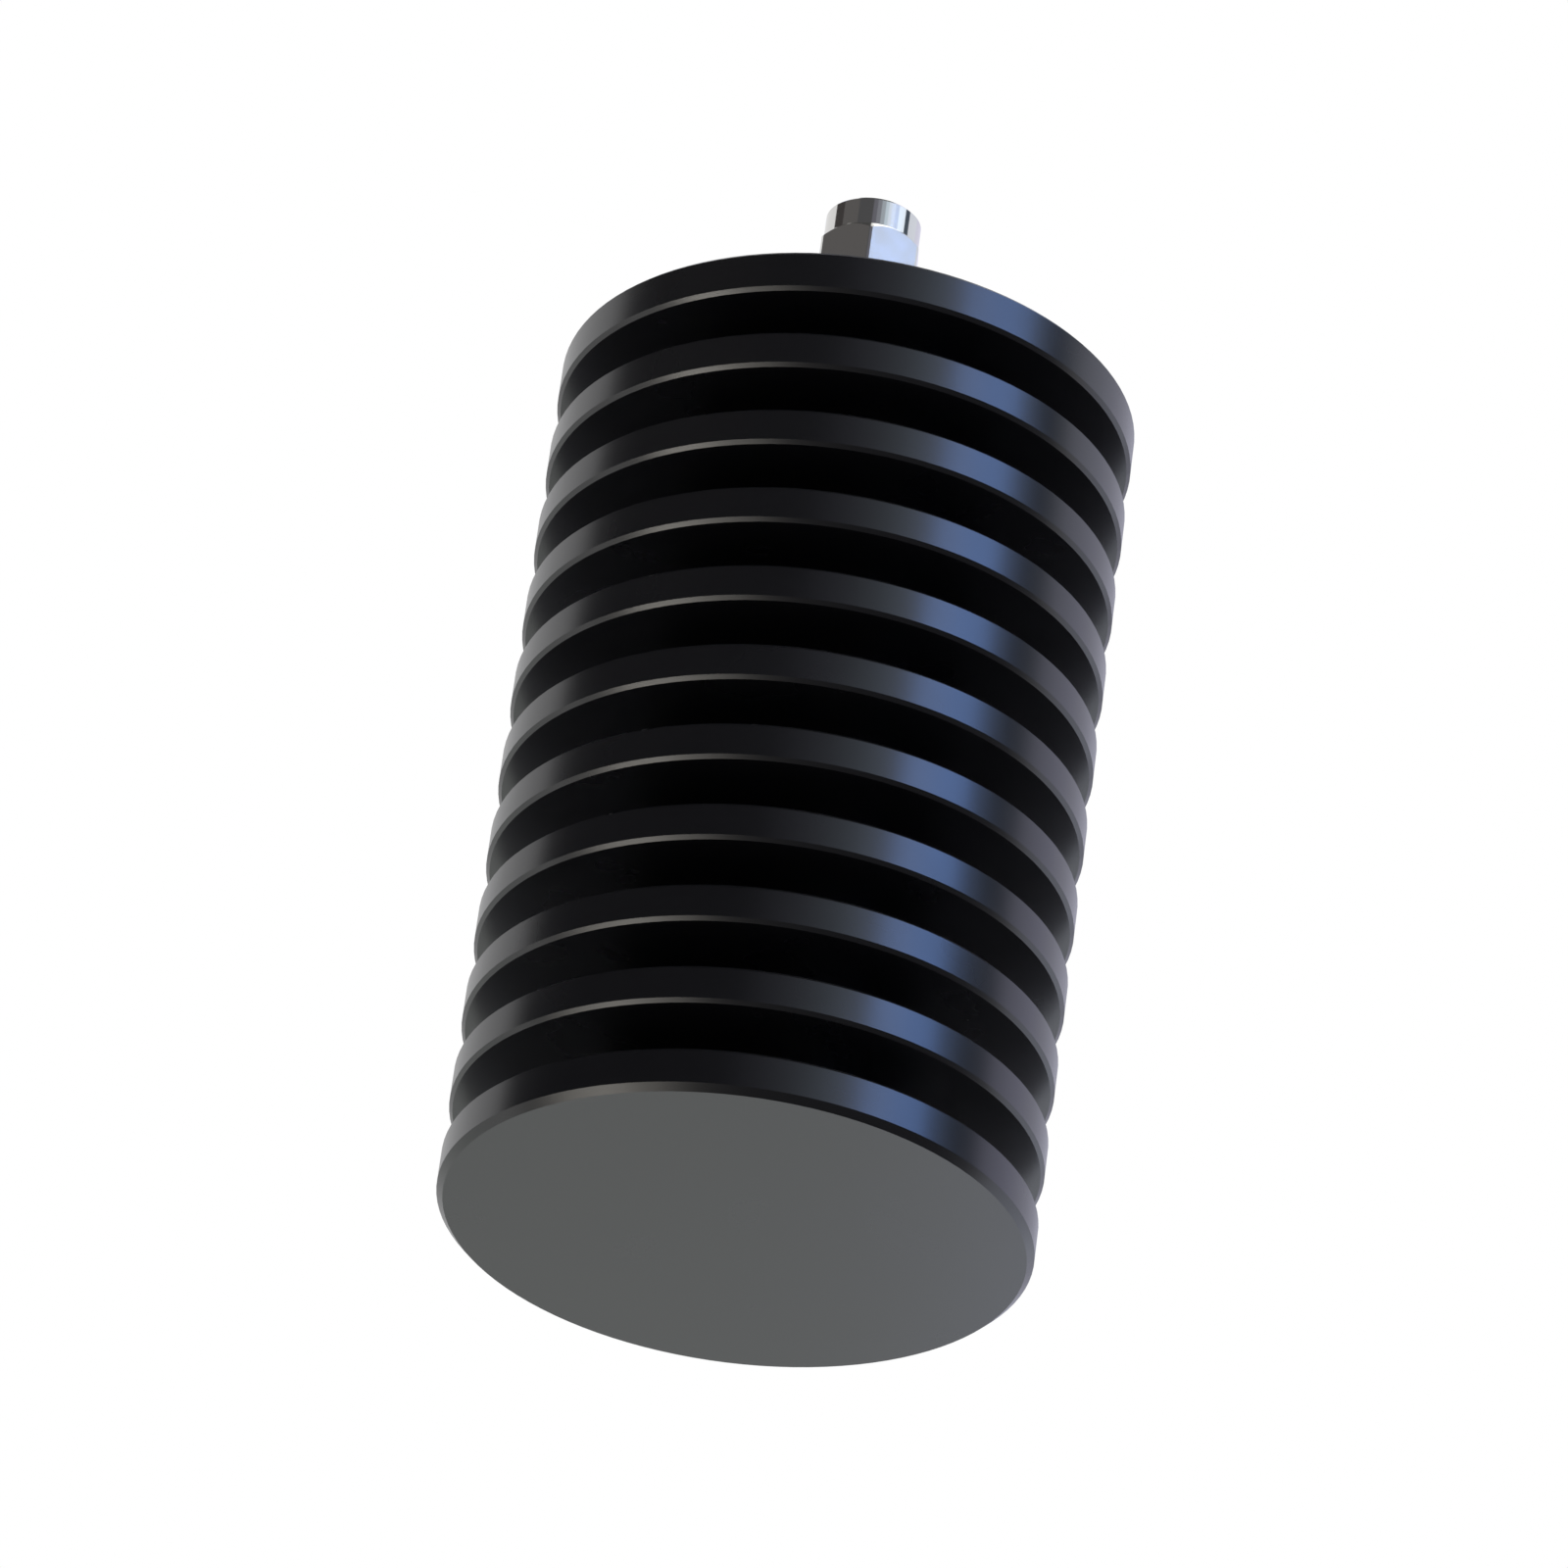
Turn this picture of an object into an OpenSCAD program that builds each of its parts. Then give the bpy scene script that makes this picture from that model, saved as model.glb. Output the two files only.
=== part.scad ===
// Coaxial dummy load: a turned, finned heat sink that holds a resistor core and ends in a screw-on plug.
// Millimetres. The origin is the centre of the blank end face, and +Z runs along the axis to the plug.

/* [Heat sink] */
// Diameter of the fins and of both end discs
disc_d = 47; // [42:0.5:60]
// Thickness of each end disc
end_disc_t = 3.6; // [3:0.1:5]
// Thickness of one fin
fin_t = 3.2; // [2:0.1:4]
// Width of the groove between two fins
groove_w = 4; // [3.9:0.1:6]
// Number of grooves along the body
groove_count = 10; // [8:1:14]
// Wall between the bore and the floor of a groove
hub_wall = 3.5; // [3.2:0.1:5]
// Chamfer left in the corners of a groove's floor
groove_corner = 0.4; // [0.2:0.1:1]
// Chamfer on the edges of the fins
rim_break = 0.3; // [0.1:0.05:0.8]
// Chamfer round the blank end face
base_break = 0.55; // [0.3:0.05:1.2]
// Diameter of the bore that takes the core
bore_d = 18; // [17.5:0.25:20]
// Depth left below the core at the bottom of the bore
bore_spare = 1; // [0.5:0.1:2]
// Full point angle of the drill that leaves the bore's conical bottom
drill_angle = 118; // [90:1:140]

/* [Set screws that hold the core] */
// Thread diameter of a set screw
grub_d = 3; // [2.5:0.1:3]
// Number of set screws round the core
grub_count = 3; // [2:1:4]
// Count of grooves from the plug's end down to the one that the set screws enter through
grub_groove_count = 5; // [5:1:6]
// Depth of a set screw's outer end below the groove's floor
grub_recess = 0.5; // [0.3:0.1:1]
// Hexagon socket across its flats
grub_socket_af = 1.5; // [1.2:0.1:1.5]
// Depth of the hexagon socket
grub_socket_depth = 1.3; // [0.8:0.1:1.5]

/* [Core] */
// Clearance between the core and the bore, on the radius
core_fit = 0.03; // [0.02:0.01:0.05]
// How far the core's head overhangs the bore
core_lip = 1; // [0.8:0.1:3]
// Height of the core's head above the heat sink
core_head_h = 5.8; // [5.5:0.1:8]
// Length of the core below the middle of the set screws
core_tail_past_grub = 2; // [1.8:0.1:3]
// Chamfer on the core's edges
core_break = 0.3; // [0.1:0.1:0.5]
// Depth of the resistor pocket's top below the heat sink's face
pocket_depth = 5.2; // [5:0.1:6]
// Clearance round the resistor in its pocket
pocket_gap = 0.25; // [0.2:0.05:0.3]
// Corner radius that the milling cutter leaves in the pocket
pocket_corner = 0.5; // [0.2:0.1:0.6]
// Height of the flat that the cover lies on, above the axis
lid_seat_y = 4; // [3.7:0.1:4.4]
// Thickness of the cover
lid_t = 1.5; // [1.3:0.1:1.8]
// How far the cover reaches past each end of the pocket
lid_land = 4.4; // [4.2:0.1:4.6]
// Gap between each end of the cover and the core
lid_end_gap = 0.1; // [0.05:0.05:0.2]
// Thread diameter of a cover screw
lid_screw_d = 2; // [1.6:0.1:2]
// Length of a cover screw
lid_screw_l = 6; // [5:0.5:7]
// Countersunk head of a cover screw
lid_screw_head_d = 3.8; // [3.4:0.1:3.8]
// Distance of the cover screws from the core's middle
lid_screw_x = 4; // [3.7:0.1:4.1]

/* [Flanged resistor] */
// Thickness of the heat-conducting pad under the resistor
pad_t = 0.15; // [0.1:0.05:0.25]
// Width of the resistor's mounting flange
res_w = 9.5; // [8:0.1:9.8]
// Length of the resistor's mounting flange
res_l = 13; // [12.5:0.1:13.4]
// Thickness of the resistor's mounting flange
res_flange_t = 1.5; // [1.2:0.1:1.6]
// Clearance hole in the flange
res_hole_d = 2.8; // [2.7:0.1:3.1]
// Distance of the hole from the flange's free end
res_hole_in = 3.2; // [3.1:0.1:3.4]
// Length of the ceramic chip
chip_l = 6.3; // [5.5:0.1:6.4]
// Margin of the flange beside the chip
chip_margin = 0.1; // [0:0.05:0.4]
// Thickness of the ceramic chip
chip_t = 1; // [0.8:0.1:1.1]
// Length of the ceramic lid on the chip
chip_lid_l = 4.4; // [3.5:0.1:4.6]
// Margin of the chip beside its lid
chip_lid_margin = 0.4; // [0.2:0.1:1]
// Thickness of the ceramic lid
chip_lid_t = 1; // [0.8:0.1:1.5]
// Width of the solder tab
tab_w = 1.4; // [1:0.1:1.6]
// Thickness of the solder tab
tab_t = 0.15; // [0.1:0.05:0.2]
// Length of the tab on the chip
tab_on_chip = 1.3; // [1:0.1:1.5]
// Free length of the tab beyond the chip
tab_free = 3.4; // [3:0.1:3.6]
// Thread diameter of the resistor's screw
res_screw_d = 2.5; // [2:0.1:2.5]
// Length of the resistor's screw
res_screw_l = 6; // [5:0.5:6]
// Head diameter of the resistor's screw
res_screw_head_d = 4.5; // [4:0.1:4.5]

/* [Plug body] */
// Side of the plug's square flange
flange_w = 12.7; // [12.4:0.1:13]
// Thickness of the square flange
flange_t = 1.65; // [1.5:0.05:1.8]
// Corner radius of the square flange
flange_corner = 1.2; // [0.5:0.1:2]
// Spacing of the four flange holes
flange_pitch = 8.64; // [8.6:0.01:8.9]
// Clearance holes in the flange
flange_hole_d = 2.7; // [2.6:0.05:2.8]
// Diameter of the collar behind the coupling nut
collar_d = 6.5; // [6.2:0.1:7]
// Height of the collar above the flange
collar_h = 2.45; // [2.4:0.05:3.5]
// Length of the neck from the collar to the seal's seat
neck_l = 3.15; // [3:0.05:3.4]
// Diameter of the ferrule that enters the socket
ferrule_d = 4.59; // [4.55:0.01:4.6]
// Length of the ferrule beyond the seal
ferrule_l = 1.9; // [1.8:0.05:2]
// Step from the ferrule out to its foot, which carries the seal, on the radius
foot_step = 0.2; // [0.15:0.01:0.25]
// Step from the foot out to the neck that the coupling nut turns on, on the radius
neck_step = 0.2; // [0.15:0.01:0.25]
// Bore of the plug's outer conductor
line_bore_d = 4.12; // [4.1:0.01:4.14]

/* [Seal and retaining ring] */
// Height of the seal ring on the ferrule's foot
seal_h = 0.65; // [0.5:0.05:0.8]
// Width of the seal ring's section
seal_w = 0.38; // [0.3:0.01:0.4]
// Clearance between the seal and the ferrule's foot, on the radius
seal_fit = 0.02; // [0.01:0.01:0.05]
// Thickness of the split retaining ring
snap_t = 0.5; // [0.4:0.05:0.6]
// How far the split retaining ring stands out of the neck, on the radius
snap_reach = 0.35; // [0.3:0.01:0.4]
// Opening in the split retaining ring
snap_split = 1.2; // [0.6:0.1:2]
// Depth of the ring's groove in the neck
snap_groove_depth = 0.35; // [0.3:0.01:0.38]
// Clearance of the ring in the neck's groove
snap_gap = 0.05; // [0.03:0.01:0.1]
// Gap between the ring and the nut's inner shoulder
snap_lift = 0.1; // [0.05:0.01:0.2]

/* [Coupling nut] */
// Hexagon across its flats
nut_af = 8; // [7.8:0.05:8.2]
// Diameter that the hexagon's corners are turned down to
nut_corner_d = 9.08; // [8.8:0.02:9.2]
// Overall length of the coupling nut
nut_l = 8; // [7.8:0.1:8.6]
// Length of the round front end
nut_round_l = 2.6; // [2.2:0.1:3]
// Diameter of the round front end
nut_round_d = 7.86; // [7.6:0.02:7.94]
// Angle between the axis and the chamfer below the round front end
nut_chamfer_angle = 40; // [25:1:50]
// Chamfer on the nut's front edge
nut_break = 0.25; // [0.1:0.05:0.3]
// How far the hexagon's corners are turned back at the nut's rear
nut_rear_break = 0.4; // [0.2:0.05:0.5]
// Clearance between the seal ring and the bore that the coupling thread is cut in, on the radius
nut_bore_gap = 0.205; // [0.2:0.005:0.25]
// Lead-in chamfer at the mouth
nut_mouth = 0.3; // [0.1:0.05:0.4]
// Thickness of the inner shoulder at the rear
nut_shoulder_t = 1.2; // [1:0.05:1.3]
// Running clearance on the neck, on the radius
nut_fit = 0.05; // [0.03:0.01:0.08]
// End play between the collar and the nut
nut_play = 0.3; // [0.25:0.05:0.4]
// Clearance round the retaining ring in the nut's recess, on the radius
nut_recess_gap = 0.25; // [0.22:0.01:0.35]
// Length of the recess beyond the retaining ring
nut_recess_spare = 0.5; // [0.3:0.05:0.8]
// Angle of one hexagon corner about the axis
nut_angle = -88.5; // [-180:0.5:180]

/* [Plug screws] */
// Thread diameter of a plug screw
plug_screw_d = 2.5; // [2:0.1:2.5]
// Length of a plug screw under its head
plug_screw_l = 6; // [5:0.5:7]
// Head diameter of a plug screw
plug_screw_head_d = 4.5; // [4:0.1:4.6]
// Head height of a plug screw
plug_screw_head_h = 1.55; // [1.3:0.05:1.6]
// Thickness of a spring washer
washer_t = 0.55; // [0.4:0.05:0.6]
// Width of a spring washer's section
washer_section = 0.8; // [0.6:0.05:0.9]
// Clearance between a spring washer and its screw's thread, on the radius
washer_fit = 0.05; // [0.03:0.01:0.1]
// Opening in a spring washer
washer_split = 0.5; // [0.3:0.1:0.8]
// Width of the cross recess in a screw head
cross_w = 0.6; // [0.4:0.05:0.8]
// Depth of the cross recess
cross_depth = 0.8; // [0.5:0.05:1]

/* [Line] */
// Diameter of the centre conductor inside the insulator
pin_body_d = 1.27; // [1.2:0.01:1.3]
// Diameter of the contact pin
pin_d = 0.92; // [0.9:0.01:0.94]
// Length of the contact pin beyond the ferrule
pin_l = 2.2; // [2:0.05:2.4]
// Length of the contact pin's rounded tip
pin_tip_l = 0.35; // [0.25:0.05:0.45]
// Length of the centre conductor beyond the insulator at the rear
pin_rear_l = 1.8; // [1.5:0.1:2]
// Clearance between the insulator and its neighbours, on the radius
insulator_fit = 0.02; // [0.01:0.01:0.03]

/* [Hidden] */
$fn = 96;

// Small lengths that many pieces share: a screw lies thread_gap inside its hole's wall, a tapped
// hole runs tap_spare past the screw's end, and a cut runs over beyond what it cuts
thread_gap = 0.02;
solder_gap = 0.02;
shank_break = 0.2;
tap_spare = 0.5;
over = 1;

// Heat sink
disc_r = disc_d / 2;
bore_r = bore_d / 2;
hub_r = bore_r + hub_wall;
pitch = fin_t + groove_w;
last = groove_count;
top_z = disc_low(last) + end_disc_t;
grub_z = top_z - end_disc_t - groove_w / 2 - (grub_groove_count - 1) * pitch;

// Core
tab_end_gap = 0.3;
chip_to_pocket_top = tab_free + tab_end_gap;
core_r = bore_r - core_fit;
head_r = bore_r + core_lip;
core_low_z = grub_z - core_tail_past_grub;
bore_low_z = core_low_z - bore_spare;
head_z = top_z + core_head_h;
pocket_high_z = top_z - pocket_depth;
pocket_w = res_w + 2 * pocket_gap;
pocket_l = res_l + chip_to_pocket_top + pocket_gap;
pocket_low_z = pocket_high_z - pocket_l;
lid_low_z = pocket_low_z - lid_land;
lid_high_z = pocket_high_z + lid_land;
lid_top_y = lid_seat_y + lid_t;
lid_screw_zs = [lid_low_z + lid_land / 2, lid_high_z - lid_land / 2];

// Resistor, stacked up from the pocket's floor to the centre conductor
tab_top_y = -pin_body_d / 2 - solder_gap;
chip_top_y = tab_top_y - tab_t;
res_flange_y = chip_top_y - chip_t - res_flange_t;
seat_y = res_flange_y - pad_t;
res_high_z = pocket_high_z - chip_to_pocket_top;
res_low_z = res_high_z - res_l;
res_hole_z = res_low_z + res_hole_in;
res_head_y = res_flange_y + res_flange_t + washer_t;

// Plug
flange_high_z = head_z + flange_t;
collar_z = flange_high_z + collar_h;
seal_z = collar_z + neck_l;
ferrule_z = seal_z + seal_h;
line_z = ferrule_z + ferrule_l;
ferrule_r = ferrule_d / 2;
foot_r = ferrule_r + foot_step;
neck_r = foot_r + neck_step;
seal_bore_r = foot_r + seal_fit;
seal_r = seal_bore_r + seal_w;
snap_groove_r = neck_r - snap_groove_depth;
snap_r = neck_r + snap_reach;
line_r = line_bore_d / 2;
insulator_r = line_r - insulator_fit;
plug_corners = [for (sx = [-1, 1], sy = [-1, 1]) [sx, sy] * flange_pitch / 2];
plug_head_z = flange_high_z + washer_t;

// Coupling nut and its ring
nut_low_z = collar_z + nut_play;
nut_high_z = nut_low_z + nut_l;
nut_inner_z = nut_low_z + nut_shoulder_t;
snap_z = nut_inner_z + snap_lift;
snap_high_z = snap_z + snap_t;
nut_recess_z = snap_high_z + nut_recess_spare;
nut_recess_r = snap_r + nut_recess_gap;
nut_bore_r = seal_r + nut_bore_gap;

function disc_low(k) = k == 0 ? 0 : end_disc_t + groove_w + (k - 1) * pitch;
function disc_high(k) = disc_low(k) + (k == 0 || k == last ? end_disc_t : fin_t);

// A solid of revolution between two heights, with an optional bore
module turned(r, low, high, bore = 0) {
    translate([0, 0, low])
        difference() {
            cylinder(r = r, h = high - low);
            if (bore > 0)
                translate([0, 0, -over]) cylinder(r = bore, h = high - low + 2 * over);
        }
}

// A turned bar with both its end edges chamfered
module chamfered_bar(r, low, high, break) {
    rotate_extrude()
        polygon([
            [0, low], [r - break, low], [r, low + break],
            [r, high - break], [r - break, high], [0, high]
        ]);
}

// A square with rounded corners, drawn from true arcs
module rounded_rect(w, h, r) {
    square([w - 2 * r, h], center = true);
    square([w, h - 2 * r], center = true);
    for (sx = [-1, 1], sy = [-1, 1])
        translate([sx * (w / 2 - r), sy * (h / 2 - r)]) circle(r = r);
}

// A plate that lies flat above the pocket's floor, centred on the core's middle plane
module plate(w, low_z, high_z, y, t) {
    translate([-w / 2, y, low_z]) cube([w, t, high_z - low_z]);
}

// Turns what was drawn along +Z so that it points along +Y, at a place in the core
module facing_pocket(x, y, z) {
    translate([x, y, z]) rotate([-90, 0, 0]) children();
}

// Plain shank of a screw below z = 0, drawn just inside its thread diameter
module shank(d, l) {
    translate([0, 0, -l])
        rotate_extrude()
            polygon([
                [0, 0], [d / 2 - shank_break, 0], [d / 2 - thread_gap, shank_break],
                [d / 2 - thread_gap, l], [0, l]
            ]);
}

// Cross recess cut down from z = 0
module cross_recess(span) {
    translate([0, 0, -cross_depth])
        linear_extrude(cross_depth + over) {
            square([span, cross_w], center = true);
            square([cross_w, span], center = true);
        }
}

// Pan head screw: the head stands on z = 0, with a domed top
module pan_screw(d, l, head_d, head_h) {
    dome_r = head_d * 0.9;
    shank(d, l);
    difference() {
        intersection() {
            cylinder(d = head_d, h = head_h);
            translate([0, 0, head_h - dome_r]) sphere(r = dome_r);
        }
        translate([0, 0, head_h]) cross_recess(head_d * 0.6);
    }
}

// Countersunk screw: its flat top lies at z = 0
module countersunk_screw(d, l, head_d) {
    cone_h = (head_d - d) / 2;
    difference() {
        union() {
            shank(d, l);
            translate([0, 0, -cone_h])
                cylinder(d1 = d - 2 * thread_gap, d2 = head_d - 2 * thread_gap, h = cone_h);
        }
        cross_recess(head_d * 0.55);
    }
}

// Split spring washer standing on z = 0
module spring_washer(d) {
    hole_r = d / 2 + washer_fit;
    difference() {
        turned(hole_r + washer_section, 0, washer_t, hole_r);
        translate([0, -washer_split / 2, -over])
            cube([d + 2 * washer_section, washer_split, washer_t + 2 * over]);
    }
}

// Places children at each set screw, looking outward along +Z, with z = 0 on the axis
module at_grubs() {
    for (k = [0 : grub_count - 1])
        rotate([0, 0, 90 + k * 360 / grub_count])
            translate([0, 0, grub_z]) rotate([0, 90, 0]) children();
}

// Turned from bar: a comb of fins on a hub, blank at the foot and bored from the plug's end
module heat_sink() color("#1b1b1e")
    difference() {
        rotate_extrude()
            polygon(concat(
                [[0, 0], [disc_r - base_break, 0], [disc_r, base_break]],
                [for (k = [0 : last]) each concat(
                    k == 0 ? [] : [
                        [disc_r - rim_break, disc_low(k)], [disc_r, disc_low(k) + rim_break]
                    ],
                    [[disc_r, disc_high(k) - rim_break], [disc_r - rim_break, disc_high(k)]],
                    k == last ? [] : [
                        [hub_r + groove_corner, disc_high(k)],
                        [hub_r, disc_high(k) + groove_corner],
                        [hub_r, disc_low(k + 1) - groove_corner],
                        [hub_r + groove_corner, disc_low(k + 1)]
                    ]
                )],
                [[0, top_z]]
            ));
        turned(bore_r, bore_low_z, top_z + over);
        translate([0, 0, bore_low_z - bore_r / tan(drill_angle / 2)])
            cylinder(r1 = 0, r2 = bore_r, h = bore_r / tan(drill_angle / 2));
        at_grubs() cylinder(d = grub_d, h = hub_r + groove_corner);
    }

// Head, tail, milled flat and pocket in one bar, with its tapped holes
module core_base() color("#c9c6bd")
    difference() {
        union() {
            chamfered_bar(head_r, top_z, head_z, core_break);
            chamfered_bar(core_r, core_low_z, top_z + over, core_break);
        }
        translate([-core_r - over, lid_seat_y, lid_low_z])
            cube([2 * (core_r + over), core_r, lid_high_z - lid_low_z]);
        facing_pocket(0, seat_y, (pocket_low_z + pocket_high_z) / 2)
            linear_extrude(core_r - seat_y) rounded_rect(pocket_w, pocket_l, pocket_corner);
        turned(line_r, pocket_high_z - pocket_gap, head_z + over);
        for (c = plug_corners)
            translate([c[0], c[1], 0])
                turned(plug_screw_d / 2, plug_head_z - plug_screw_l - tap_spare, head_z + over);
        for (x = [-lid_screw_x, lid_screw_x], z = lid_screw_zs)
            facing_pocket(x, lid_top_y - lid_screw_l - tap_spare, z)
                cylinder(d = lid_screw_d, h = lid_screw_l);
        facing_pocket(0, res_head_y - res_screw_l - tap_spare, res_hole_z)
            cylinder(d = res_screw_d, h = res_screw_l);
    }

// Slice of the same round bar that closes the pocket
module core_cover() color("#d2cfc6")
    difference() {
        intersection() {
            turned(core_r, lid_low_z + lid_end_gap, lid_high_z - lid_end_gap);
            plate(2 * core_r, lid_low_z, lid_high_z, lid_seat_y, lid_t);
        }
        for (x = [-lid_screw_x, lid_screw_x], z = lid_screw_zs)
            facing_pocket(x, lid_seat_y, z) {
                translate([0, 0, -over]) cylinder(d = lid_screw_d, h = lid_t + 2 * over);
                translate([0, 0, lid_t - (lid_screw_head_d - lid_screw_d) / 2])
                    cylinder(
                        d1 = lid_screw_d, d2 = lid_screw_head_d,
                        h = (lid_screw_head_d - lid_screw_d) / 2
                    );
            }
    }

// Four countersunk screws that hold the cover
module cover_screws() color("#8f9196")
    for (x = [-lid_screw_x, lid_screw_x], z = lid_screw_zs)
        facing_pocket(x, lid_top_y, z)
            countersunk_screw(lid_screw_d, lid_screw_l, lid_screw_head_d);

// Socket set screws, sunk below the groove's floor and bearing on the core
module grub_screws() color("#3a3a3d")
    at_grubs()
        difference() {
            translate([0, 0, bore_r])
                cylinder(d = grub_d - 2 * thread_gap, h = hub_wall - grub_recess);
            translate([0, 0, hub_r - grub_recess - grub_socket_depth])
                cylinder(d = grub_socket_af / cos(30), h = grub_socket_depth + over, $fn = 6);
        }

// Thin pad that carries the heat into the core
module thermal_pad() color("#55575c")
    difference() {
        plate(res_w, res_low_z, res_high_z, seat_y, pad_t);
        facing_pocket(0, seat_y - over, res_hole_z) cylinder(d = res_hole_d, h = pad_t + 2 * over);
    }

// Plated copper flange of the resistor
module resistor_flange() color("#c8b890")
    difference() {
        plate(res_w, res_low_z, res_high_z, res_flange_y, res_flange_t);
        facing_pocket(0, res_flange_y - over, res_hole_z)
            cylinder(d = res_hole_d, h = res_flange_t + 2 * over);
    }

// Ceramic chip that carries the film
module resistor_chip() color("#d9d4c8")
    plate(
        res_w - 2 * chip_margin, res_high_z - chip_l, res_high_z,
        res_flange_y + res_flange_t, chip_t
    );

// Ceramic lid over the film, behind the tab's solder pad
module resistor_lid() color("#f2f0ea")
    plate(
        res_w - 2 * chip_margin - 2 * chip_lid_margin,
        res_high_z - chip_l, res_high_z - chip_l + chip_lid_l,
        chip_top_y, chip_lid_t
    );

// Silver tab from the chip to the centre conductor
module resistor_tab() color("#dcdcd8")
    plate(tab_w, res_high_z - tab_on_chip, res_high_z + tab_free, chip_top_y, tab_t);

// Screw that clamps the resistor to the core
module resistor_screw() color("#8f9196")
    facing_pocket(0, res_head_y, res_hole_z)
        pan_screw(res_screw_d, res_screw_l, res_screw_head_d, plug_screw_head_h);

// Spring washer under that screw's head
module resistor_washer() color("#77797e")
    facing_pocket(0, res_flange_y + res_flange_t, res_hole_z) spring_washer(res_screw_d);

// Flange, collar, grooved neck and ferrule, turned and milled from one bar
module connector_shell() color("#c4c2bd")
    difference() {
        union() {
            translate([0, 0, head_z])
                linear_extrude(flange_t) rounded_rect(flange_w, flange_w, flange_corner);
            rotate_extrude()
                polygon([
                    [0, head_z], [collar_d / 2, head_z],
                    [collar_d / 2, collar_z - core_break], [collar_d / 2 - core_break, collar_z],
                    [neck_r, collar_z],
                    [neck_r, snap_z - snap_gap], [snap_groove_r, snap_z - snap_gap],
                    [snap_groove_r, snap_high_z + snap_gap], [neck_r, snap_high_z + snap_gap],
                    [neck_r, seal_z], [foot_r, seal_z], [foot_r, ferrule_z],
                    [ferrule_r, ferrule_z], [ferrule_r, line_z], [0, line_z]
                ]);
        }
        turned(line_r, head_z - over, line_z + over);
        for (c = plug_corners)
            translate([c[0], c[1], 0])
                turned(flange_hole_d / 2, head_z - over, flange_high_z + over);
    }

// Four pan head screws through the flange into the core's head
module connector_screws() color("#a9abb0")
    for (c = plug_corners)
        translate([c[0], c[1], plug_head_z])
            rotate([0, 0, 45])
                pan_screw(plug_screw_d, plug_screw_l, plug_screw_head_d, plug_screw_head_h);

// A spring washer under each of those heads
module connector_washers() color("#8b8d92")
    for (c = plug_corners)
        translate([c[0], c[1], flange_high_z])
            rotate([0, 0, atan2(c[1], c[0])]) spring_washer(plug_screw_d);

// Hexagon turned down to a round front end, bored for the thread, the ring and the neck
module coupling_nut() color("#d3d3d6")
    difference() {
        intersection() {
            translate([0, 0, nut_low_z])
                rotate([0, 0, nut_angle])
                    cylinder(r = nut_af / 2 / cos(30), h = nut_l, $fn = 6);
            rotate_extrude()
                polygon([
                    [0, nut_low_z],
                    [nut_corner_d / 2 - nut_rear_break, nut_low_z],
                    [nut_corner_d / 2, nut_low_z + nut_rear_break * tan(nut_chamfer_angle)],
                    [nut_corner_d / 2, nut_high_z - nut_round_l
                        - (nut_corner_d - nut_round_d) / 2 / tan(nut_chamfer_angle)],
                    [nut_round_d / 2, nut_high_z - nut_round_l],
                    [nut_round_d / 2, nut_high_z - nut_break],
                    [nut_round_d / 2 - nut_break, nut_high_z],
                    [0, nut_high_z]
                ]);
        }
        rotate_extrude()
            polygon([
                [0, nut_low_z - over], [neck_r + nut_fit, nut_low_z - over],
                [neck_r + nut_fit, nut_inner_z], [nut_recess_r, nut_inner_z],
                [nut_recess_r, nut_recess_z], [nut_bore_r, nut_recess_z],
                [nut_bore_r, nut_high_z - nut_mouth], [nut_bore_r + nut_mouth, nut_high_z],
                [nut_bore_r + nut_mouth, nut_high_z + over], [0, nut_high_z + over]
            ]);
    }

// Split ring in the neck's groove, over which the nut's shoulder pulls
module retaining_ring() color("#b9a878")
    difference() {
        turned(snap_r, snap_z, snap_high_z, snap_groove_r + snap_gap);
        translate([0, -snap_split / 2, snap_z - over])
            cube([snap_r + over, snap_split, snap_t + 2 * over]);
    }

// Flat rubber ring that the socket's rim presses on
module seal_ring() color("#a8452e")
    turned(seal_r, seal_z, ferrule_z, seal_bore_r);

// Insulator of the line, from the pocket to the ferrule's face
module insulator() color("#f0efec")
    turned(insulator_r, pocket_high_z, line_z, pin_body_d / 2 + insulator_fit);

// Centre conductor with its contact pin
module centre_pin() color("#d2a647")
    rotate_extrude()
        polygon([
            [0, pocket_high_z - pin_rear_l], [pin_body_d / 2, pocket_high_z - pin_rear_l],
            [pin_body_d / 2, line_z], [pin_d / 2, line_z],
            [pin_d / 2, line_z + pin_l - pin_tip_l],
            [pin_d / 2 * 0.8, line_z + pin_l - pin_tip_l / 2],
            [pin_d / 2 * 0.4, line_z + pin_l], [0, line_z + pin_l]
        ]);

heat_sink();
core_base();
core_cover();
cover_screws();
grub_screws();
thermal_pad();
resistor_flange();
resistor_chip();
resistor_lid();
resistor_tab();
resistor_screw();
resistor_washer();
connector_shell();
connector_screws();
connector_washers();
coupling_nut();
retaining_ring();
seal_ring();
insulator();
centre_pin();
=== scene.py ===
# %% [markdown]
# # A coaxial power load
# The real object is a black finned cylinder of aluminium, blank at one end, with a small screw-on
# plug at the other. Its solids were built in CAD and arrive here as a fixed frame: one mesh for
# each real piece, in metres, standing on the blank end with the plug up. This lesson gives each
# piece the finish of its real material, adds the fine thread that CAD leaves out, and then sets up
# the studio and the camera.

# %% The frame
import math

import bmesh
import bpy
from mathutils import Matrix, Vector


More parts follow.
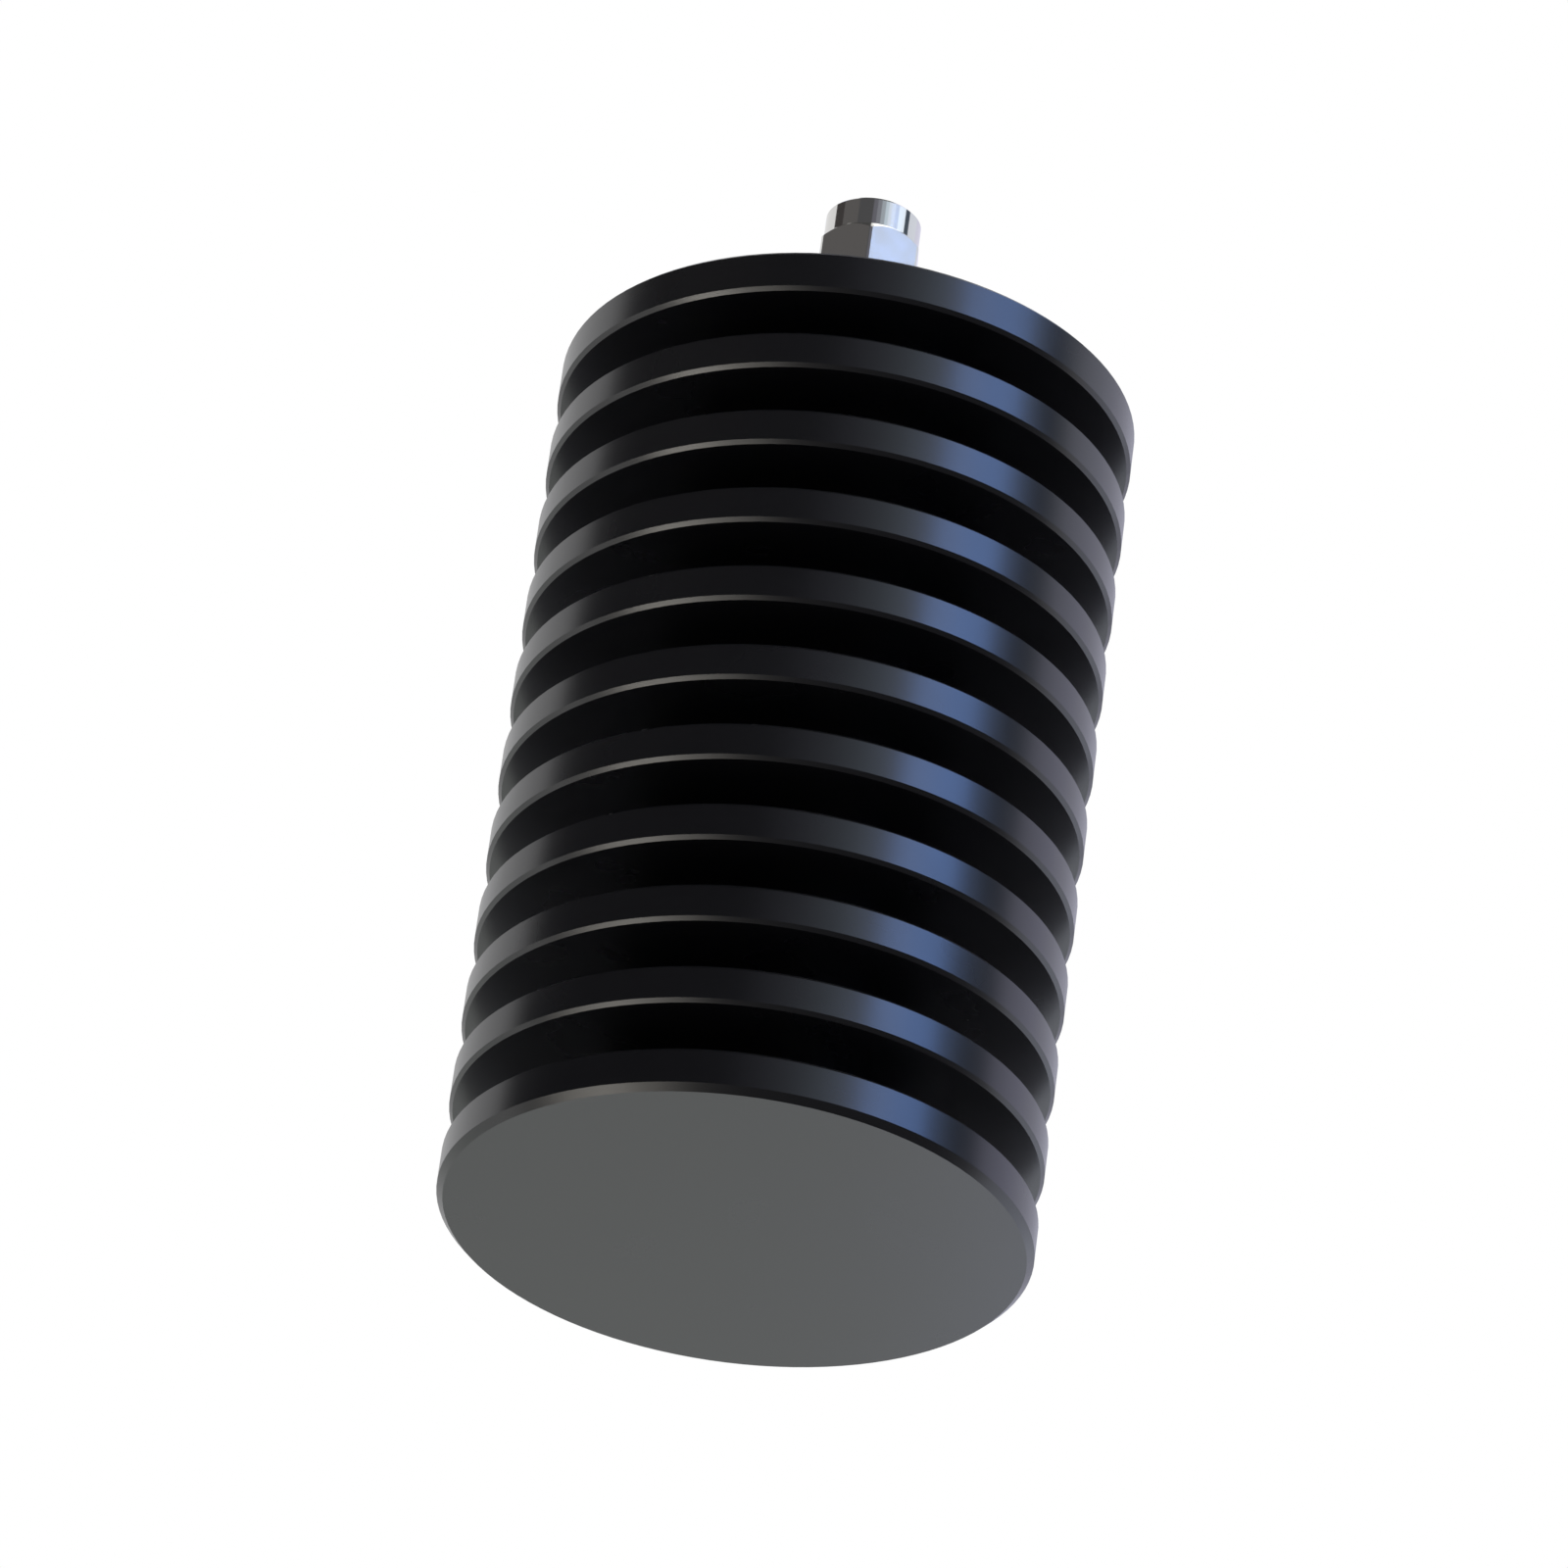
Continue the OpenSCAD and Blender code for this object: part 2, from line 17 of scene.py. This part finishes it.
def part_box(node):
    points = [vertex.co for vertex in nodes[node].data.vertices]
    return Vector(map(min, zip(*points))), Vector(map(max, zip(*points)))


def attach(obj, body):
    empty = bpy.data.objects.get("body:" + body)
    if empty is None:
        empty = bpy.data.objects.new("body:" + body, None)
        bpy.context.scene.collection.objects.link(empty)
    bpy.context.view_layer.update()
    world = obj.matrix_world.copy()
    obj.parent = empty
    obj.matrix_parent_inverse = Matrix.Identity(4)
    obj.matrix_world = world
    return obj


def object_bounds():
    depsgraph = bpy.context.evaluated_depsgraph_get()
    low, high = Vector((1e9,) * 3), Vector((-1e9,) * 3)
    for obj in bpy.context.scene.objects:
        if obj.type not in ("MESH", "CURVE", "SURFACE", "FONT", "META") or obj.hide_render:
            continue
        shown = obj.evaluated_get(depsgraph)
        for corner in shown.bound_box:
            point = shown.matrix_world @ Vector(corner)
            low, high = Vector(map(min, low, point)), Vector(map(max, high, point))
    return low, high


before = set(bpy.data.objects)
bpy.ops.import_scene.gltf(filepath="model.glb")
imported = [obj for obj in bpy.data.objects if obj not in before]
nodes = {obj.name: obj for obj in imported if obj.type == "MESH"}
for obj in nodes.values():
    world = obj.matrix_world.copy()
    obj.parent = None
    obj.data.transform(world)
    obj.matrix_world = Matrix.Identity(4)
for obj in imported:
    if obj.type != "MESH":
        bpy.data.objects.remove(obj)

cad_low, cad_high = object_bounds()
print(len(nodes), "pieces, box in mm:", [round(1000 * v, 2) for v in cad_high - cad_low])

# %% [markdown]
# ## Two helpers
# Colours are written as the sRGB hex values that a picture shows, but shaders work in linear
# light, so one function turns them. The other helper adds one node to a material's tree, with its
# settings and whatever feeds its inputs, which keeps the node trees below short enough to read.

# %% Helpers
MM = 0.001


def linear(code):
    """A hex colour as linear light, with an alpha of 1."""
    srgb = [int(code[i:i + 2], 16) / 255 for i in (1, 3, 5)]
    return (*[v / 12.92 if v < 0.04045 else ((v + 0.055) / 1.055) ** 2.4 for v in srgb], 1)


def add(owner, kind, feeds=None, **settings):
    """Adds a node to a material or world. Each input in feeds gets a value or another node's output."""
    tree = owner.node_tree
    made = tree.nodes.new("ShaderNode" + kind)
    for name, value in settings.items():
        setattr(made, name, value)
    for socket, source in (feeds or {}).items():
        if isinstance(source, bpy.types.NodeSocket):
            tree.links.new(source, made.inputs[socket])
        else:
            made.inputs[socket].default_value = source
    return made


print("mid grey #808080 is", round(linear("#808080")[0], 3), "in linear light")

# %% [markdown]
# ## What the lathe leaves
# Nearly every piece here was turned, so its surface carries fine rings round the axis: on a flat
# face they are concentric, on a cylinder they run round it. Both come from one pattern when a
# noise is read at the point's distance from the axis and its height, because then it can't change
# along a ring. Real feed marks are about 0.1 mm apart, finer than a pixel of the picture, so each
# material says how coarse it draws them. The pattern reads Object coordinates, in metres, so a
# spacing in millimetres becomes a scale of one over that spacing. A second pattern, of soft
# blotches, is for what isn't turned: handling, dye, uneven plating and cast or sintered grain.

# %% Patterns
def lathe_marks(material, spacing):
    """A noise that only changes across the turning marks, which lie about spacing apart, in mm."""
    place = add(material, "TexCoord").outputs["Object"]
    across = add(material, "VectorMath", {0: place, 1: (1, 1, 0)}, operation="MULTIPLY")
    radius = add(material, "VectorMath", {0: across.outputs[0]}, operation="LENGTH")
    height = add(material, "SeparateXYZ", {0: place})
    ring = add(material, "CombineXYZ", {0: radius.outputs["Value"], 1: height.outputs["Z"]})
    return add(
        material, "TexNoise",
        {"Vector": ring.outputs[0], "Scale": 1 / (spacing * MM), "Detail": 2.0},
        noise_dimensions="2D",
    ).outputs["Fac"]


def blotches(material, size):
    """A soft noise with patches about size across, in mm."""
    place = add(material, "TexCoord").outputs["Object"]
    return add(
        material, "TexNoise", {"Vector": place, "Scale": 1 / (size * MM), "Detail": 3.0},
        noise_dimensions="3D",
    ).outputs["Fac"]


print("lathe marks 0.4 mm apart are a noise scale of", round(1 / (0.4 * MM)))

# %% [markdown]
# ## A finish on a piece
# Every material below is a Principled shader. What is the same all over the surface is set on the
# shader's own sockets. What varies is tied to a pattern: the colour is mixed from two by the noise
# as it is, the roughness follows the noise from its usual low of 0.3 to its usual high of 0.7, and
# the relief tilts the surface as if the pattern stood out of it. A socket that is tied still holds
# a middling value, for viewers that don't read node trees. A CAD piece takes its finish by its
# material slot, because the frame's meshes are never changed.

# %% Finishes
NOISE_LOW, NOISE_HIGH = 0.3, 0.7


def new_material(name, **values):
    """A material whose Principled shader has these values on its own sockets."""
    material = bpy.data.materials.new(name)
    material.use_nodes = True
    shader = material.node_tree.nodes["Principled BSDF"]
    for socket, value in values.items():
        shader.inputs[socket.replace("_", " ")].default_value = value
    return material, shader


def imprint(material, shader, pattern, rough=None, colours=None, relief=None):
    """Ties a pattern to the finish: two roughnesses, two hex colours, or a strength and mm of relief."""
    links = material.node_tree.links
    if rough:
        shader.inputs["Roughness"].default_value = sum(rough) / 2
        spread = add(
            material, "MapRange",
            {"Value": pattern, "From Min": NOISE_LOW, "From Max": NOISE_HIGH,
             "To Min": rough[0], "To Max": rough[1]},
        )
        links.new(spread.outputs["Result"], shader.inputs["Roughness"])
    if colours:
        first, second = [linear(code) for code in colours]
        shader.inputs["Base Color"].default_value = first
        mixed = add(
            material, "Mix", {"Factor": pattern, "A": first, "B": second}, data_type="RGBA"
        )
        links.new(mixed.outputs["Result"], shader.inputs["Base Color"])
    if relief:
        strength, depth = relief
        bump = add(
            material, "Bump",
            {"Height": pattern, "Strength": strength, "Distance": depth * MM},
        )
        links.new(bump.outputs["Normal"], shader.inputs["Normal"])


def dress(material, *names):
    """Gives CAD pieces a material."""
    for name in names:
        nodes[name].data.materials[0] = material
        print(name, "is", material.name)


print("the roughness follows a noise between", NOISE_LOW, "and", NOISE_HIGH)

# %% [markdown]
# ## Black anodised aluminium
# The heat sink is turned from one aluminium bar, bead-etched to a satin and anodised. The oxide
# layer is a hard clear glass a few hundredths of a millimetre thick, dyed black, so the eye gets
# almost no colour back from inside and nearly everything from the reflection on top. That makes it
# a dielectric with the index of alumina's oxide, about 1.6, and not a metal. The etch gives it a
# middling roughness, and the dye takes a little unevenly.

# %% Heat sink
anodised, shader = new_material("black_anodised_aluminium_turned", Metallic=0.0, IOR=1.6)
dye = blotches(anodised, 9)
imprint(anodised, shader, dye, rough=(0.24, 0.28), colours=("#0b0b0e", "#0f0f13"))
imprint(anodised, shader, lathe_marks(anodised, 0.35), relief=(0.25, 0.004))
dress(anodised, "heat_sink")

# %% [markdown]
# ## Bright nickel plate
# The plug and its coupling nut are turned from brass and plated with bright nickel, which levels
# the tool marks until the metal is nearly a mirror. The core that holds the resistor gets the same
# plate without the polish, so its marks still show. Nickel is a slightly warm grey metal.

# %% Plated pieces
mirror, shader = new_material(
    "bright_nickel_plate_polished", Metallic=1.0, Base_Color=linear("#dcdbd8")
)
imprint(mirror, shader, blotches(mirror, 2.5), rough=(0.06, 0.10))
imprint(mirror, shader, lathe_marks(mirror, 0.2), relief=(0.15, 0.001))
dress(mirror, "coupling_nut", "connector_shell")

plated, shader = new_material(
    "nickel_plate_as_turned", Metallic=1.0, Base_Color=linear("#cfccc6")
)
imprint(plated, shader, lathe_marks(plated, 0.3), rough=(0.2, 0.3), relief=(0.3, 0.004))
dress(plated, "core_base", "core_cover", "resistor_flange")

# %% [markdown]
# ## Gold, bronze and silver
# The contact pin is plated with gold so that it never tarnishes, the split ring is phosphor bronze
# because it has to spring, and the resistor's tab is soft silver foil.

# %% Contact metals
gold, shader = new_material("gold_plate", Metallic=1.0, Base_Color=linear("#f0c46a"))
imprint(gold, shader, lathe_marks(gold, 0.12), rough=(0.13, 0.2))
dress(gold, "centre_pin")

bronze, shader = new_material("phosphor_bronze_spring", Metallic=1.0, Roughness=0.3)
imprint(bronze, shader, blotches(bronze, 1.5), colours=("#c9985e", "#a97a4c"))
dress(bronze, "retaining_ring")

silver, shader = new_material("silver_foil_rolled", Metallic=1.0, Base_Color=linear("#e8e6e0"))
imprint(silver, shader, blotches(silver, 0.4), rough=(0.2, 0.34))
dress(silver, "resistor_tab")

# %% [markdown]
# ## Steel screws and washers
# The screws are stainless steel, cold headed and then tumbled, which leaves a fine even grain. The
# set screws are alloy steel with a black oxide, and the spring washers are wound from blued wire.

# %% Steels
stainless, shader = new_material(
    "stainless_steel_tumbled", Metallic=1.0, Base_Color=linear("#bcbdbf")
)
grain = blotches(stainless, 0.25)
imprint(stainless, shader, grain, rough=(0.24, 0.36), relief=(0.2, 0.006))
dress(stainless, "connector_screws", "cover_screws", "resistor_screw")

oxide, shader = new_material("black_oxide_steel", Metallic=0.6, Base_Color=linear("#1d1d20"))
imprint(oxide, shader, blotches(oxide, 0.5), rough=(0.36, 0.5))
dress(oxide, "grub_screws")

spring, shader = new_material("spring_steel_wound", Metallic=1.0, Roughness=0.34)
imprint(spring, shader, blotches(spring, 0.8), colours=("#84868c", "#9c9da0"))
dress(spring, "connector_washers", "resistor_washer")

# %% [markdown]
# ## Plastic, rubber and graphite
# PTFE is white because it scatters light below its surface, so the insulator gets some subsurface
# scattering with a radius of about half a millimetre. The seal is red silicone rubber, dull and a
# little dusty. Under the resistor lies a sheet of pressed graphite, dark and faintly metallic.

# %% Soft pieces
ptfe, shader = new_material(
    "ptfe_turned", IOR=1.38, Base_Color=linear("#efeeea"),
    Subsurface_Weight=0.3, Subsurface_Radius=(1.0, 0.95, 0.9), Subsurface_Scale=0.5 * MM,
)
imprint(ptfe, shader, lathe_marks(ptfe, 0.15), rough=(0.36, 0.5))
dress(ptfe, "insulator")

silicone, shader = new_material("silicone_rubber_moulded", Roughness=0.6, IOR=1.42)
imprint(silicone, shader, blotches(silicone, 0.6), colours=("#a8452e", "#b35a43"))
dress(silicone, "seal_ring")

graphite, shader = new_material(
    "graphite_sheet_pressed", Metallic=0.3, Base_Color=linear("#3c3e42")
)
imprint(graphite, shader, blotches(graphite, 0.3), rough=(0.35, 0.6))
dress(graphite, "thermal_pad")

# %% [markdown]
# ## Ceramics
# The resistor is a film between two ceramics: a warm grey chip of aluminium nitride, which carries
# the heat away, and a white alumina lid. Both are pressed from powder and sintered, which leaves a
# fine grain. Their high index makes them glossier than a plastic of the same roughness.

# %% Resistor body
nitride, shader = new_material("aluminium_nitride_sintered", Roughness=0.5, IOR=2.1)
imprint(nitride, shader, blotches(nitride, 0.2), colours=("#cbc5b7", "#ddd8cb"))
dress(nitride, "resistor_chip")

alumina, shader = new_material("alumina_sintered", IOR=1.76, Base_Color=linear("#f1efe9"))
imprint(alumina, shader, blotches(alumina, 0.2), rough=(0.38, 0.55))
dress(alumina, "resistor_lid")

# %% [markdown]
# ## The thread in the coupling nut
# The nut's bore carries a 1/4-36 thread, 0.706 mm from crest to crest, which CAD leaves plain
# because it is too fine for collision. A thread is one ridge that climbs as it turns, so it is made
# the way a lathe cuts it: a small trapezium of four vertices is spun about the axis, and rises a
# little at every step. Its root is sunk a few hundredths into the bore's wall, so no gap shows.

# %% Coupling thread
PITCH = 25.4 / 36 * MM
ROOT_R, CREST_R = 3.13 * MM, 2.82 * MM
CREST_LOW, CREST_HIGH, ROOT_WIDTH = 0.34, 0.46, 0.8
TURN_STEPS = 40
LOW_END, HIGH_END = 4.3 * MM, 0.45 * MM


def to_object(shape, name, material):
    """Turns a finished bmesh into an object of one material."""
    mesh = bpy.data.meshes.new(name)
    shape.to_mesh(mesh)
    shape.free()
    mesh.materials.append(material)
    made = bpy.data.objects.new(name, mesh)
    bpy.context.scene.collection.objects.link(made)
    return made


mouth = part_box("coupling_nut")[1].z
climb = LOW_END - HIGH_END - ROOT_WIDTH * PITCH
steps = int(climb / PITCH * TURN_STEPS)

thread = bmesh.new()
profile = [
    thread.verts.new((radius, 0, mouth - LOW_END + height * PITCH))
    for radius, height in (
        (ROOT_R, 0), (CREST_R, CREST_LOW), (CREST_R, CREST_HIGH), (ROOT_R, ROOT_WIDTH),
    )
]
face = thread.faces.new(profile)
bmesh.ops.spin(
    thread, geom=[face, *face.edges, *profile], cent=(0, 0, 0), axis=(0, 0, 1),
    dvec=(0, 0, PITCH / TURN_STEPS), angle=math.tau * steps / TURN_STEPS, steps=steps,
    use_merge=False, use_duplicate=False,
)
bmesh.ops.recalc_face_normals(thread, faces=thread.faces)
coupling_thread = to_object(thread, "coupling_thread", mirror)
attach(coupling_thread, "nut_body")
print("thread:", steps / TURN_STEPS, "turns,", len(coupling_thread.data.polygons), "faces")

# %% [markdown]
# ## A floor that shows from above
# The photograph looks up at the blank end from below, so an ordinary floor would hide the object.
# This one is a pale matt sheet to a camera above it, where it also catches the shadow, and clear
# to a camera below it. Geometry's Backfacing output tells the two sides apart. Rays that carry
# light and reflections pass it from both sides, so the blank end isn't left in the dark.

# %% Floor
FLOOR_REACH, FLOOR_GAP = 4, 0.05 * MM

paper = bpy.data.materials.new("pale_matt_paper")
paper.use_nodes = True
paper.node_tree.nodes.clear()
seen = add(paper, "LightPath").outputs["Is Camera Ray"]
above = add(
    paper, "Math", {0: 1.0, 1: add(paper, "NewGeometry").outputs["Backfacing"]},
    operation="SUBTRACT",
)
shown = add(paper, "Math", {0: seen, 1: above.outputs[0]}, operation="MULTIPLY")
side = add(
    paper, "MixShader",
    {0: shown.outputs[0], 1: add(paper, "BsdfTransparent").outputs[0],
     2: add(paper, "BsdfDiffuse", {"Color": linear("#f0f0ef")}).outputs[0]},
)
add(paper, "OutputMaterial", {"Surface": side.outputs[0]})

sheet = bmesh.new()
bmesh.ops.create_grid(sheet, x_segments=1, y_segments=1, size=FLOOR_REACH)
bmesh.ops.translate(sheet, verts=sheet.verts, vec=(0, 0, -FLOOR_GAP))
to_object(sheet, "floor", paper)
print("floor:", 2 * FLOOR_REACH, "m wide,", FLOOR_GAP / MM, "mm below the blank end")

# %% [markdown]
# ## A white world
# The background is pure white, so the world has a strength of 1 to the camera and to reflections,
# and about half that as a soft fill light. Light Path says which kind of ray is asking.

# %% World
FILL, WHITE = 0.55, 1.0

world = bpy.data.worlds.new("white_studio")
bpy.context.scene.world = world
world.use_nodes = True
world.node_tree.nodes.clear()
path = add(world, "LightPath")
seen = add(
    world, "Math",
    {0: path.outputs["Is Camera Ray"], 1: path.outputs["Is Glossy Ray"]}, operation="MAXIMUM",
)
seen = add(
    world, "Math", {0: seen.outputs[0], 1: path.outputs["Is Transmission Ray"]},
    operation="MAXIMUM",
)
fill = add(world, "Background", {"Color": (1, 1, 1, 1), "Strength": FILL})
white = add(world, "Background", {"Color": (1, 1, 1, 1), "Strength": WHITE})
light = add(
    world, "MixShader", {0: seen.outputs[0], 1: fill.outputs[0], 2: white.outputs[0]}
)
add(world, "OutputWorld", {"Surface": light.outputs[0]})
print("world: fill", FILL, "background", WHITE)

# %% [markdown]
# ## Lamps
# A large softbox overhead gives the object its shape, and a second one in front fills its shadows
# and stays out of the reflections. Two smaller lamps make the highlights that a black satin surface
# needs: a bluish window at the right, and a lamp low at the left that catches the lower edges of
# the fins. A lamp is placed by the direction it stands in, seen from the middle of the object.

# %% Lamps
MIDDLE = (cad_low + cad_high) / 2


def toward(azimuth, elevation, distance):
    """A point seen from the middle of the object: azimuth runs from +X to +Y, in degrees."""
    a, e = math.radians(azimuth), math.radians(elevation)
    return MIDDLE + distance * Vector(
        (math.cos(e) * math.cos(a), math.cos(e) * math.sin(a), math.sin(e))
    )


def lamp(name, azimuth, elevation, distance, width, height, radiance, colour, lights, shines):
    """A lamp that faces the object. It lights matt surfaces, shines in glossy ones, or both."""
    data = bpy.data.lights.new(name, "AREA")
    data.shape = "RECTANGLE"
    data.size, data.size_y = width, height
    data.energy = radiance * math.pi * width * height
    data.color = linear(colour)[:3]
    made = bpy.data.objects.new(name, data)
    made.location = toward(azimuth, elevation, distance)
    made.rotation_euler = (made.location - MIDDLE).to_track_quat("Z", "Y").to_euler()
    made.visible_camera = False
    made.visible_diffuse, made.visible_glossy = lights, shines
    bpy.context.scene.collection.objects.link(made)
    print(name, "gives", round(data.energy, 2), "W")


lamp("overhead_softbox", -20, 70, 1.2, 0.9, 0.9, 1.7, "#ffffff", True, True)
lamp("front_softbox", -110, 25, 1.3, 0.8, 0.8, 0.8, "#ffffff", True, False)
lamp("window", -31.5, 33.5, 0.95, 0.44, 0.44, 4.75, "#82aeff", False, True)
lamp("low_lamp", -154, -49.5, 0.8, 0.34, 0.26, 10.5, "#fffaf0", False, True)

# %% [markdown]
# ## Cards for the reflections
# A shiny black object has no look of its own: it shows the room. Photographers hang cards round it,
# dark where it should be black and grey where it should glow. These cards are arcs of tall drums,
# each an upright edge spun part of the way round, and only reflections see them. The ring is pale
# at the back, dark in front, and grey where the dark gives way to the window.

# %% Ring of cards
CARD_STEP = 4


def hang(name, shape, tone, blocks=False):
    """Makes a bmesh a card that only reflections see. One that blocks also hides lamps behind it."""
    glow = bpy.data.materials.new(name + "_cloth")
    glow.use_nodes = True
    glow.node_tree.nodes.clear()
    shine = add(glow, "Emission", {"Color": (*tone, 1), "Strength": 1.0})
    add(glow, "OutputMaterial", {"Surface": shine.outputs[0]})
    glow.cycles.emission_sampling = "NONE"
    made = to_object(shape, name, glow)
    made.visible_camera = made.visible_diffuse = False
    made.visible_shadow = blocks
    made.visible_transmission = made.visible_volume_scatter = False
    print(name, "has a brightness of", tone)


def card(name, start, end, tone, radius=0.8, low=-0.3, high=1.1, blocks=False):
    """An arc of a drum round the object, from one azimuth to another."""
    arc = bmesh.new()
    a = math.radians(start)
    edge = [arc.verts.new((radius * math.cos(a), radius * math.sin(a), z)) for z in (low, high)]
    arc.edges.new(edge)
    bmesh.ops.spin(
        arc, geom=[*edge, *arc.edges], cent=(0, 0, 0), axis=(0, 0, 1), dvec=(0, 0, 0),
        angle=math.radians(end - start), steps=max(4, round((end - start) / CARD_STEP)),
        use_merge=False, use_duplicate=False,
    )
    hang(name, arc, tone, blocks)


for name, start, end, tone in (
    ("white_card_back", 40, 100, (0.79, 0.79, 0.95)),
    ("pale_card_left", 100, 166, (0.87, 0.87, 0.88)),
    ("black_card_left", 166, 193, (0.06, 0.055, 0.055)),
    ("dark_card_left", 193, 233, (0.125, 0.12, 0.12)),
    ("dark_card_front", 233, 268, (0.09, 0.09, 0.095)),
    ("grey_card_front_1", 268, 278, (0.16, 0.16, 0.19)),
    ("grey_card_front_2", 278, 288, (0.25, 0.26, 0.30)),
    ("grey_card_front_3", 288, 298, (0.42, 0.47, 0.53)),
    ("pale_card_front", 298, 306, (0.66, 0.77, 0.88)),
    ("dark_strip_right", 353, 367, (0.08, 0.10, 0.13)),
    ("pale_card_right_back", 367, 400, (0.82, 0.86, 0.96)),
):
    card(name, start, end, tone)

# %% [markdown]
# ## Sky, rails, aprons and flags
# A few more arcs stand nearer or further off than the ring:
#
# - The sky stands behind the window and carries its blue to both sides.
# - Pale rails cross the window at the height that the nut mirrors, so the nut doesn't burn out.
# - Three aprons hang before the ring, lower than the nut mirrors, and shade the fins alone: two
#   deepen the dark ones, and one gives the right ends of the fins a cold violet.
# - Two dark flags overhead keep the nut's chamfer and the upper edges of the discs dark.

# %% Nearer and further cards
for name, start, end, tone in (
    ("pale_sky", 298, 327, (0.86, 0.90, 0.95)),
    ("blue_sky", 327, 353, (0.42, 0.58, 0.96)),
):
    card(name, start, end, tone, radius=1.3, low=-0.5, high=1.8)

for name, start, end, tone in (
    ("window_rail_left", 306, 323, (0.86, 0.95, 1.10)),
    ("window_rail_middle", 323, 333, (0.70, 0.80, 1.02)),
    ("window_rail_right", 333, 353, (1.08, 1.20, 1.35)),
):
    card(name, start, end, tone, radius=0.6, low=0.45, high=0.52, blocks=True)

for name, start, end, tone in (
    ("black_apron_front", 170, 268, (0.04, 0.04, 0.045)),
    ("dark_apron_right", 354, 371, (0.10, 0.12, 0.15)),
    ("violet_apron_right", 371, 400, (0.80, 0.80, 1.04)),
):
    card(name, start, end, tone, radius=0.75, high=0.52)

FLAG_GREY = (0.09, 0.09, 0.09)
card("dark_flag_above", 200, 264, FLAG_GREY, radius=0.25, low=0.39, high=1.4)
card("dark_flag_behind", 74, 120, FLAG_GREY, radius=0.5, low=0.72, high=1.6)

# %% [markdown]
# ## Under the object
# A dark disc keeps the lower sides of the fins black. The blank end looks down and mirrors what
# stands low behind the disc: two pale sheets give it its even grey, a little bluer at the right.

# %% Cards below
NEAR_EDGE, FAR_EDGE = (0.2, -0.32), (0.36, -0.02)

low_card = bmesh.new()
bmesh.ops.create_circle(low_card, cap_ends=True, segments=48, radius=1.08)
bmesh.ops.translate(low_card, verts=low_card.verts, vec=(0.08, -0.6, -0.5))
hang("dark_card_below", low_card, (0.10, 0.10, 0.11))

for name, left, right, tone in (
    ("pale_card_below_left", -0.6, 0.01, (0.81, 0.84, 0.82)),
    ("pale_card_below_right", 0.01, 0.6, (1.18, 1.24, 1.44)),
):
    sheet = bmesh.new()
    corners = (left, *NEAR_EDGE), (right, *NEAR_EDGE), (right, *FAR_EDGE), (left, *FAR_EDGE)
    sheet.faces.new([sheet.verts.new(corner) for corner in corners])
    hang(name, sheet, tone)

# %% [markdown]
# ## The camera
# The photograph was taken with a long lens from below and in front, a little to the right, with the
# camera rolled by eight degrees, so the load leans in the picture. The numbers come from fitting
# the outlines of the eleven discs, whose diameters and spacing are known.

# %% Camera
PLACE = Vector((0.04648, -0.70938, -0.35996))
GAZE = Vector((-0.05815, 0.86940, 0.49067))
ROLL = math.radians(7.92)

camera_data = bpy.data.cameras.new("photo_camera")
camera_data.lens = 234.5
camera_data.sensor_width = 36
camera_data.clip_start = 0.01
camera = bpy.data.objects.new("photo_camera", camera_data)
bpy.context.scene.collection.objects.link(camera)
bpy.context.scene.camera = camera
upright = GAZE.to_track_quat("-Z", "Y").to_matrix().to_4x4()
camera.matrix_world = Matrix.Translation(PLACE) @ upright @ Matrix.Rotation(ROLL, 4, "Z")
bpy.context.view_layer.update()
print("camera stands", round((camera.location - MIDDLE).length, 3), "m away")

# %% [markdown]
# ## Colour management
# The Standard view shows colours as they were written.

# %% Finish
bpy.context.scene.view_settings.view_transform = "Standard"
